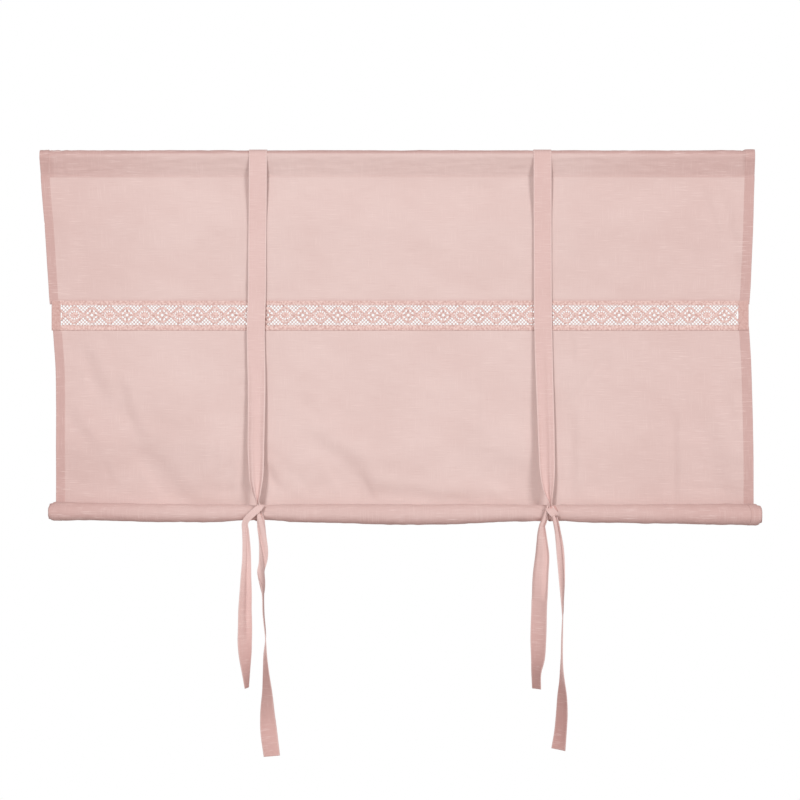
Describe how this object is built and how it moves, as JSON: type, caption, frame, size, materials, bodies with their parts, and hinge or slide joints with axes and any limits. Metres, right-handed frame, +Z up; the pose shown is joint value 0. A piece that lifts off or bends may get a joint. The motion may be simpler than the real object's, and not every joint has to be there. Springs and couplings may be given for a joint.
{
  "type": "tie-up curtain",
  "caption": "Cafe curtain with a rod pocket and a lace insert, rolled up from below and held by knotted ribbons.",
  "frame": {"origin": "on the axis of the rod, halfway along the rod pocket", "axes": "+X along the rod to the viewer's right, -Y out of the front towards the viewer, +Z up"},
  "size_m": [1.4133, 0.0583, 1.1854],
  "materials": {
    "linen": "matt dusty pink linen with a slubby weave",
    "ribbon": "matt dusty pink linen, folded double and edge-stitched",
    "lace": "matt pink cotton bobbin lace"
  },
  "bodies": {
    "root": {"upper_panel": "linen", "lace_band": "lace", "lower_panel": "linen", "tie_ribbon_left": "ribbon", "tie_ribbon_right": "ribbon"}
  },
  "joints": []
}
